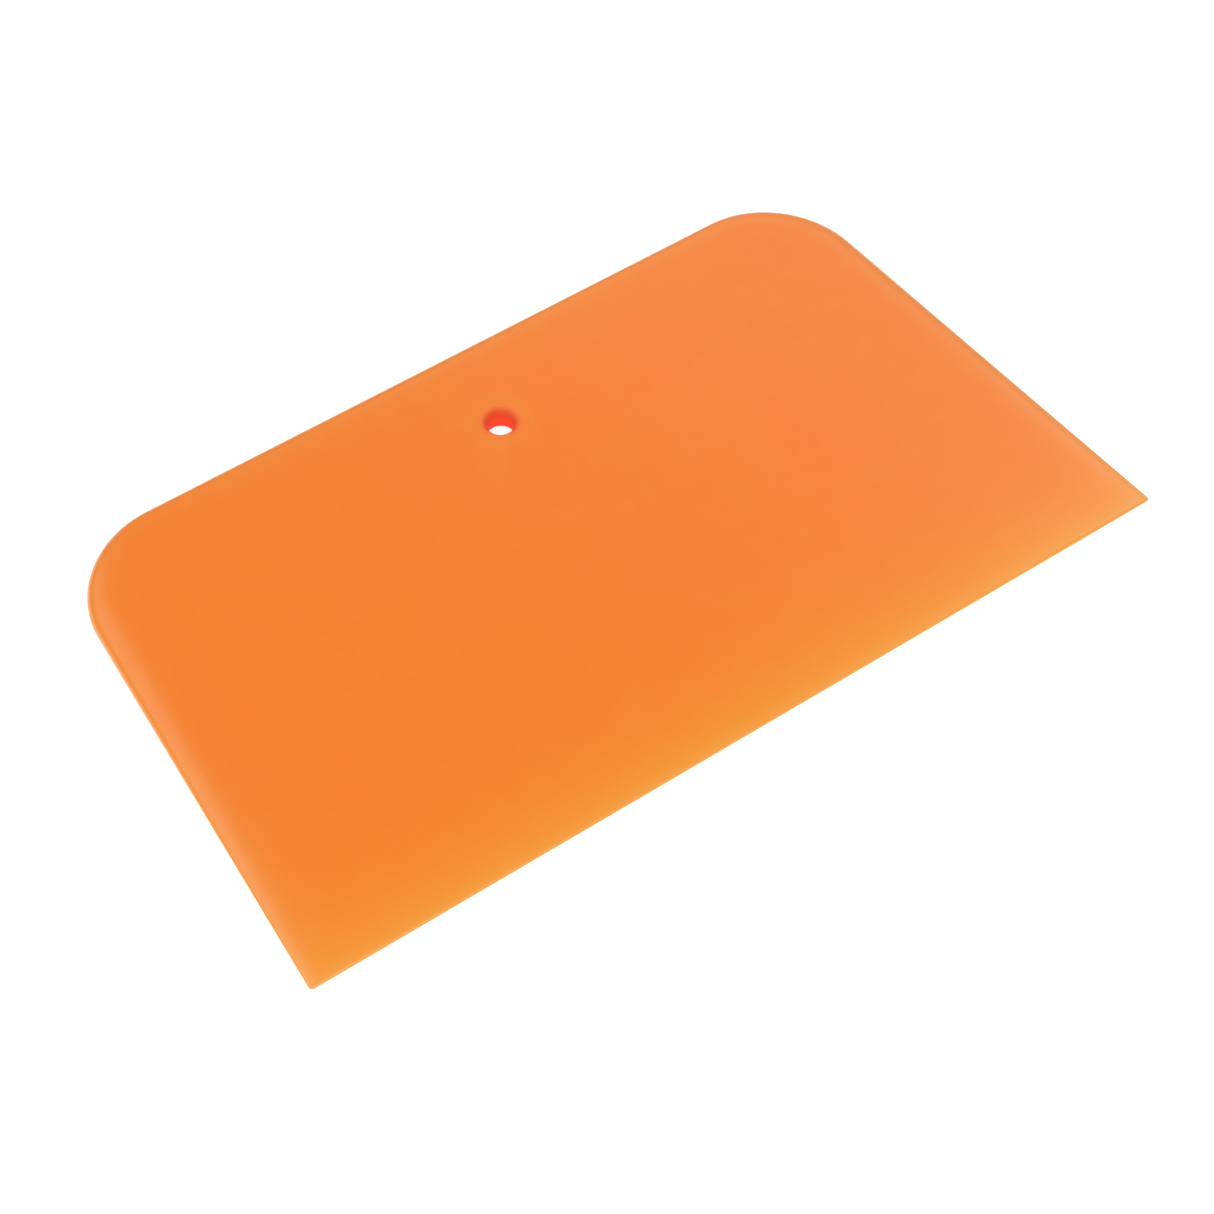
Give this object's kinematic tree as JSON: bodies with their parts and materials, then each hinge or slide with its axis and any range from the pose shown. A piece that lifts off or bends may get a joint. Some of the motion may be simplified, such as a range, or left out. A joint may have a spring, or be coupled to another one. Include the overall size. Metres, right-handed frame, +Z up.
{
  "type": "squeegee card",
  "caption": "Tapered plastic squeegee card: trapezoid plate with rounded back corners, a thin flexible working edge and a hang hole.",
  "frame": {"origin": "on the surface that the flat underside rests on, below the middle of the card's bounding box", "axes": "+X along the working edge, +Y from the working edge to the back edge, +Z up out of the sloping top face"},
  "size_m": [0.1498, 0.0834, 0.0045],
  "materials": {
    "orange_plastic": "soft satin moulded plastic, slightly translucent"
  },
  "bodies": {
    "root": {"squeegee_card": "orange_plastic"}
  },
  "joints": []
}
